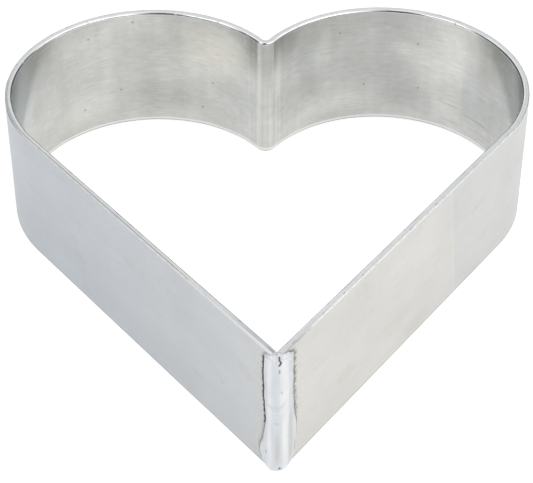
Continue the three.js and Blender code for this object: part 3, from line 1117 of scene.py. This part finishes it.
def wall_y(x):
    """Where the outer face of the wall lies at a place across the point."""
    return corner.y + abs(x) / math.tan(wall_angle)


def plain_arc(across, height):
    """Radius and turn of the skin's plain arc at a share across it, -1 on the left and 1 on the right."""
    half = weld_half_width(LEFT if across < 0 else RIGHT, height)
    sag = wall_y(half) - nose_y
    radius = (sag ** 2 + half ** 2) / (2 * sag)
    return radius, across * math.atan2(half, radius - sag)


def bead_skin(across, height):
    """Place of the bead's front, with its soot and painted shade, and its stain with painted shade and
    reflection.
    """
    radius, turn = plain_arc(across, height)
    x = radius * math.sin(turn)
    swell = bead_swell(x, across, height) * (1 - abs(across) ** EDGE_CALM)
    pit_depth, soot, stain_and_shade = bead_marks(x, height, across)
    x = (radius + swell) * math.sin(turn)
    y = nose_y + radius - (radius + swell) * math.cos(turn) + pit_depth
    return x, y, soot, stain_and_shade


def bead_back(across, height):
    """Place of the bead's back: on the wall, or in the gap between the strip's ends."""
    radius, turn = plain_arc(across, height)
    x = radius * math.sin(turn)
    if abs(x) > end_corner.x:
        return x, wall_y(x)
    into_gap = 1 - max(0.0, abs(x) - end_root.x) / (end_corner.x - end_root.x)
    return x, mix_to(end_corner.y, end_root.y, into_gap)


print("bead stands out by", round((end_corner.y - nose_y) / MM, 2), "mm")

# %% [markdown]
# ## Give the bead its place
# Every point goes to the skin or the back. The skin draws in a little at the start and is rounded off at
# the foot, where the metal ran together. At the top, front and back meet half way between, and only the
# points of that seam are merged: merging all of them would also join the thin edges of the bead and tear
# holes there.

# %% Move every point of the bead to its place
START_ROUND = 1.2 * MM
START_SHARE = 0.86
FOOT_ROUND = 1.4 * MM
FOOT_SHARE = 0.3
PALE_START = (0.2, 0.9)  # share of the start's rounding over which it turns pale
SEAM_REACH = 0.001 * MM


def rounded(share, least):
    """A quarter round from the least share at 0 to the whole at 1."""
    return mix_to(least, 1.0, math.sqrt(1 - (1 - share) ** 2))


seam = []
for vert in bead_bm.verts:
    ring_number = round(vert.co.z)
    across = 1 - 2 * math.atan2(abs(vert.co.y), vert.co.x) / math.pi
    is_back = vert.co.y > SAME_PLACE
    level = min(1.0, ring_number / BEAD_RINGS)
    x, y = bead_back(across, level * ring_height)
    skin_top = ring_height - drop_at(SKIN_DROPS, x)
    back_top = ring_height - drop_at(BACK_DROPS, x)
    top = back_top if is_back else skin_top
    height = top * level
    started = min(1.0, (top - height) / START_ROUND)
    soot, stain_and_shade = 0.0, 0.0
    if not is_back:
        x, y, soot, stain_and_shade = bead_skin(across, height)
        bed_y = max(end_corner.y, wall_y(x))
        y = mix_to(bed_y, y, rounded(min(1.0, height / FOOT_ROUND), FOOT_SHARE))
        y = mix_to(end_corner.y, y, rounded(started, START_SHARE))
    inwards = max(0, ring_number - BEAD_RINGS) / CAP_RINGS
    if inwards:
        back_x, back_y = bead_back(across, ring_height)
        front_y = mix_to(end_corner.y, bead_skin(across, skin_top)[1], START_SHARE)
        x = mix_to(x, back_x, inwards)
        y = mix_to(y, (front_y + back_y) / 2, inwards)
        height = mix_to(height, (skin_top + back_top) / 2, inwards)
    if inwards == 1:
        seam.append(vert)
    vert.co = (x, y, height)
    vert[soot_and_shade_layer] = soot
    vert[stain_and_shade_layer] = stain_and_shade
    vert[start_layer] = 1.0 if inwards else ease(1 - started, *PALE_START)
bmesh.ops.remove_doubles(bead_bm, verts=seam, dist=SEAM_REACH)
bmesh.ops.holes_fill(bead_bm, edges=[e for e in bead_bm.edges if e.is_boundary], sides=0)
bmesh.ops.recalc_face_normals(bead_bm, faces=bead_bm.faces)
for face in bead_bm.faces:
    face.smooth = len(face.verts) < 5
print("bead faces:", len(bead_bm.faces), "open edges:", sum(not e.is_manifold for e in bead_bm.edges))

# %% [markdown]
# ## Weld metal
# Fresh filler metal is brighter than the rolled sheet, a little blue, and never quite smooth. The skin
# has upright bands of painted reflection, bluish and light in turn, and its start is pale and matt. Painting
# it would take a texture. Noise and the numbers kept on the points do it here, and the finish only has to
# read them.

# %% Make the weld metal
WELD_LIGHT = (0.72, 0.73, 0.74, 1)
WELD_DARK = (0.54, 0.56, 0.575, 1)
WELD_BLUE = (0.565, 0.595, 0.63, 1)
WELD_STAIN_AND_SHADE = (0.49, 0.485, 0.46, 1)
WELD_START = (0.88, 0.895, 0.92, 1)
START_METALLIC = 0.4
START_ROUGHER = 0.25
WELD_ROUGHNESS = (0.4, 0.28)
WELD_RELIEF = 0.03 * MM
BLUE_SIDE = (-3 * MM, 2 * MM)  # from the left, the skin loses its blue over this range across

# Upright bands of painted reflection on the skin, bluish and light: middle and half width across in
# millimetres, strength
BLUE_REFLECTION_BANDS = ((-0.3, 1.6, 0.8), (3.9, 1.2, 0.75), (-3.0, 0.9, 0.6))
HIGHLIGHT_BANDS = ((-1.85, 0.7, 0.45), (2.15, 1.1, 0.7))
BAND_CORE = 0.3  # share of a band's half width that has its full strength


def weld_metal():
    material, tree, shader = new_finish("weld_metal", 0.34)
    place = add_node(tree, "ShaderNodeTexCoord", {}).outputs["Object"]
    soot, stain_and_shade, start = (attribute(tree, name).outputs["Fac"] for name in ("soot", "stain_and_shade", "start"))
    across = split(tree, place)["X"]
    grain = cloud(tree, place, (1400, 1400, 900), 5.0, 0.6)
    patches = cloud(tree, place, (420, 420, 160), 3.0)
    streaks = cloud(tree, place, (900, 900, 50), 3.0)
    tone = weighted_sum(tree, ((grain, 0.5), (patches, 1.2), (streaks, 1.6)))
    colour = blend(tree, tone, WELD_DARK, WELD_LIGHT)
    colour = blend(tree, between(tree, across, *BLUE_SIDE, 0.4, 0.0), colour, WELD_BLUE)
    # Upright bands of painted reflection, bluish and light
    for band_colour, bands in ((WELD_BLUE, BLUE_REFLECTION_BANDS), (WELD_LIGHT, HIGHLIGHT_BANDS)):
        for middle, half, strength in bands:
            away = away_from(tree, across, middle * MM)
            amount = between(tree, away, BAND_CORE * half * MM, half * MM, strength, 0.0)
            colour = blend(tree, amount, colour, band_colour)
    # Stain with painted shade and reflection, the pale start, then soot with painted shade
    for amount, tint in ((stain_and_shade, WELD_STAIN_AND_SHADE), (start, WELD_START), (soot, SOOT_AND_SHADE_COLOUR)):
        colour = blend(tree, amount, colour, tint)
    polish = between(tree, patches, *NOISE_RANGE, *WELD_ROUGHNESS)
    roughness = maths(tree, "ADD", polish, times(tree, start, START_ROUGHER))
    tree.links.new(roughness, shader.inputs["Roughness"])
    tree.links.new(between(tree, start, 0.0, 1.0, 1.0, START_METALLIC), shader.inputs["Metallic"])
    coat(tree, shader, colour, grain, WELD_RELIEF)
    return material


bead = finish_piece(bead_bm, "laid_weld", [say_made(weld_metal())])
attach(bead, "root")
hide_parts("weld_bead")
print("bead faces:", len(bead.data.polygons))

# %% [markdown]
# ## Floor
# The photograph shows the ring on plain white. Lamps strong enough to make a floor white would flood the
# ring with light. So the floor is pale and keeps the ring's faint shadow, and a part of its brightness is
# a glow that only the camera and the metal's mirror images see.

# %% Lay the floor
FLOOR_COLOUR = (0.6, 0.6, 0.6, 1)
FLOOR_GLOW = 0.72
FLOOR_HALF_SIZE = 4.0


def floor_finish():
    material = bpy.data.materials.new("studio_floor")
    material.use_nodes = True
    tree = material.node_tree
    tree.nodes.clear()
    path = tree.nodes.new("ShaderNodeLightPath").outputs
    seen = largest(tree, path["Is Camera Ray"], path["Is Glossy Ray"], path["Is Transmission Ray"])
    pale = add_node(tree, "ShaderNodeBsdfDiffuse", {"Color": FLOOR_COLOUR})
    glow = add_node(tree, "ShaderNodeEmission", {"Strength": times(tree, seen, FLOOR_GLOW)})
    both = add_node(tree, "ShaderNodeAddShader", {0: pale.outputs[0], 1: glow.outputs[0]})
    add_node(tree, "ShaderNodeOutputMaterial", {"Surface": both.outputs[0]})
    return material


floor_bm = bmesh.new()
bmesh.ops.create_grid(floor_bm, x_segments=1, y_segments=1, size=FLOOR_HALF_SIZE)
floor = finish_piece(floor_bm, "floor", [say_made(floor_finish())])

# %% [markdown]
# ## Room and lamps
# Bare metal shows its surroundings more than itself, and the shiny rolled edge mirrors all of them: dark
# blue in front, a bright ceiling, and a bright stretch straight behind the ring. A ready-made picture of
# a room would do this too, but a few steps by direction give just these areas. Two soft lamps stand for
# the windows, a large one on the right and a smaller one on the left.

# %% Paint the room
ROOM_DARK = (0.05, 0.065, 0.09, 1)
ROOM_BRIGHT = (0.9, 0.9, 0.9, 1)
DARK_MIDDLE = math.radians(-13)
DARK_HALF_WIDTH = math.radians(24)
DARK_BLUR = 0.06

# Ranges of a direction's X, Y or Z over which the room changes
DARK_ENDS_RISING = (0.86, 0.96)
CEILING_RISING = (0.5, 0.7)
BEHIND_BACKWARDS = (0.4, 0.65)
BEHIND_RISING = (0.1, 0.35)
BEHIND_SIDEWAYS = (0.2, 0.42)

bpy.context.scene.view_settings.view_transform = "Standard"
world = bpy.data.worlds.new("studio")
bpy.context.scene.world = world
world.use_nodes = True
room = world.node_tree
sideways, backwards, rising = split(room, add_node(room, "ShaderNodeTexCoord", {}).outputs["Generated"])
compass = maths(room, "ARCTAN2", sideways, times(room, backwards, -1.0))
off_middle = away_from(room, compass, DARK_MIDDLE)
in_front = between(room, off_middle, DARK_HALF_WIDTH - DARK_BLUR, DARK_HALF_WIDTH + DARK_BLUR, 1.0, 0.0)
in_front = times(room, in_front, between(room, rising, *DARK_ENDS_RISING, 1.0, 0.0))
ceiling = times(room, between(room, rising, *CEILING_RISING), maths(room, "SUBTRACT", 1.0, in_front))
straight_behind = between(room, maths(room, "ABSOLUTE", sideways), *BEHIND_SIDEWAYS, 1.0, 0.0)
behind_ring = times(room, between(room, backwards, *BEHIND_BACKWARDS), between(room, rising, *BEHIND_RISING))
room_light = largest(room, ceiling, times(room, behind_ring, straight_behind))
room.links.new(blend(room, room_light, ROOM_DARK, ROOM_BRIGHT), room.nodes["Background"].inputs["Color"])
print("nodes in the room:", len(room.nodes))


# %% Set up the lamps
def softbox(name, azimuth, elevation, distance, width, height, brightness, colour):
    """A soft rectangular lamp aimed at the ring. Azimuth 0 is behind the camera, and 90 is on the right."""
    lamp = bpy.data.lights.new(name, "AREA")
    lamp.shape = "RECTANGLE"
    lamp.size = width
    lamp.size_y = height
    lamp.energy = brightness * math.pi * width * height
    lamp.color = colour
    holder = bpy.data.objects.new(name, lamp)
    turn = math.radians(azimuth)
    rise = math.radians(elevation)
    place = Vector((math.sin(turn) * math.cos(rise), -math.cos(turn) * math.cos(rise), math.sin(rise)))
    holder.location = place * distance
    holder.rotation_euler = place.to_track_quat("Z", "Y").to_euler()
    holder.visible_camera = False
    bpy.context.scene.collection.objects.link(holder)
    print(name, "in watts:", round(lamp.energy, 2))


softbox("window_right", azimuth=57, elevation=36, distance=1.5, width=3.0, height=1.4, brightness=1.1,
        colour=(1.0, 0.97, 0.92))
softbox("window_left", azimuth=-59, elevation=36, distance=1.5, width=1.15, height=1.4, brightness=0.9,
        colour=(0.94, 0.97, 1.0))
